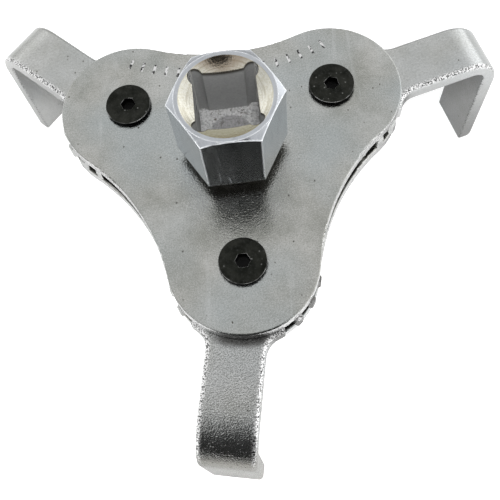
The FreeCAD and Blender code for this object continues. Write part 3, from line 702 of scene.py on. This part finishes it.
def make_camera():
    """The camera, rolled about its own axis and shifted off the middle of the picture."""
    data = bpy.data.cameras.new("camera")
    data.lens = CAMERA_LENS
    data.sensor_width = 36.0
    data.shift_x, data.shift_y = CAMERA_SHIFT
    data.clip_start = 0.01
    data.clip_end = 20.0
    camera = bpy.data.objects.new("camera", data)
    bpy.context.scene.collection.objects.link(camera)
    back = towards_camera()
    right = Vector((0, 0, 1)).cross(back).normalized()
    up = back.cross(right)
    rolled_right = math.cos(CAMERA_ROLL) * right + math.sin(CAMERA_ROLL) * up
    rolled_up = -math.sin(CAMERA_ROLL) * right + math.cos(CAMERA_ROLL) * up
    turn = Matrix((rolled_right, rolled_up, back)).transposed()
    camera.matrix_world = Matrix.Translation(CAMERA_TARGET + back * CAMERA_DISTANCE) @ turn.to_4x4()
    bpy.context.scene.camera = camera


class Sky(Graph):
    """The world's node tree, with the same short calls."""

    def __init__(self, world):
        world.use_nodes = True
        self.tree = world.node_tree
        self.shader = self.tree.nodes["Background"]
        self.place = self.tree.nodes.new("ShaderNodeTexCoord").outputs["Generated"]

    def along(self, direction):
        """Cosine of the angle from a direction."""
        item = self.tree.nodes.new("ShaderNodeVectorMath")
        item.operation = "DOT_PRODUCT"
        item.inputs[1].default_value = direction
        self.tree.links.new(self.place, item.inputs[0])
        return item.outputs["Value"]


def make_surroundings():
    """A pale tent: dimmer towards the camera, behind the tool and on the left, brighter right."""
    world = bpy.data.worlds.new("tent")
    bpy.context.scene.world = world
    sky = Sky(world)
    overhead = sky.ramp(sky.along(towards_camera()), 0.0, 0.5, 1.10, 0.66)
    behind = sky.ramp(sky.along((0.0, 1.0, 0.0)), 0.70, 0.95, 1.0, 0.45, smooth=True)
    right = sky.ramp(sky.along((1.0, 0.0, 0.0)), 0.4, 0.9, 1.0, 1.35)
    left = sky.ramp(sky.along((-1.0, 0.0, 0.0)), 0.4, 0.9, 1.0, 0.70)
    sky.set("Strength", sky.times(overhead, behind, left, right))
    sky.set("Color", (*WHITE, 1.0))


def add_dark_card(name, corners):
    """A flat black card that only the bright metal's reflections show."""
    mesh = bpy.data.meshes.new(name)
    mesh.from_pydata(corners, [], [tuple(range(len(corners)))])
    card = bpy.data.objects.new(name, mesh)
    bpy.context.scene.collection.objects.link(card)
    g = Graph(name)
    g.set("Base Color", (0.02, 0.02, 0.02, 1.0))
    g.set("Roughness", 0.9)
    mesh.materials.append(g.material)
    card.visible_camera = False
    card.visible_diffuse = False
    card.visible_shadow = False


def make_dark_cards():
    """The photographer: a round card at the camera and an upright one before the tool."""
    count, radius = 48, 51 * MM
    back = towards_camera()
    side = Vector((0, 0, 1)).cross(back).normalized()
    up = back.cross(side)
    nudge = Vector((0.0, -7 * MM, 0.0))
    middle = CAMERA_TARGET + back * CAMERA_DISTANCE + nudge
    rim = []
    for step in range(count):
        angle = 2 * math.pi * step / count
        rim.append(middle + radius * (math.cos(angle) * side + math.sin(angle) * up))
    add_dark_card("card_round", rim)
    left, right = -75 * MM, 80 * MM
    low, high = FLOOR_Z + 2 * MM, 112 * MM
    front = -130 * MM
    upright = [(left, front, low), (right, front, low), (right, front, high), (left, front, high)]
    add_dark_card("card_front", upright)


def add_softbox(name, place, size, power):
    """A square area light aimed at the tool. Metal doesn't mirror it."""
    data = bpy.data.lights.new(name, "AREA")
    data.energy = power
    data.size = size
    lamp = bpy.data.objects.new(name, data)
    bpy.context.scene.collection.objects.link(lamp)
    lamp.location = place
    lamp.rotation_euler = (-Vector(place)).to_track_quat("-Z", "Y").to_euler()
    lamp.visible_glossy = False


def light_stage():
    """The tent, the dark cards and three soft lights. Places and sizes in metres, power in watts."""
    make_surroundings()
    make_dark_cards()
    add_softbox("softbox_key", towards_camera(), 0.22, 7.0)
    add_softbox("softbox_left", (-0.8, -0.1, 0.6), 0.6, 1.0)
    add_softbox("softbox_right", (0.8, 0.0, 0.6), 0.6, 1.0)


dress_all()
make_floor()
light_stage()
make_camera()
bpy.context.scene.view_settings.view_transform = "Standard"
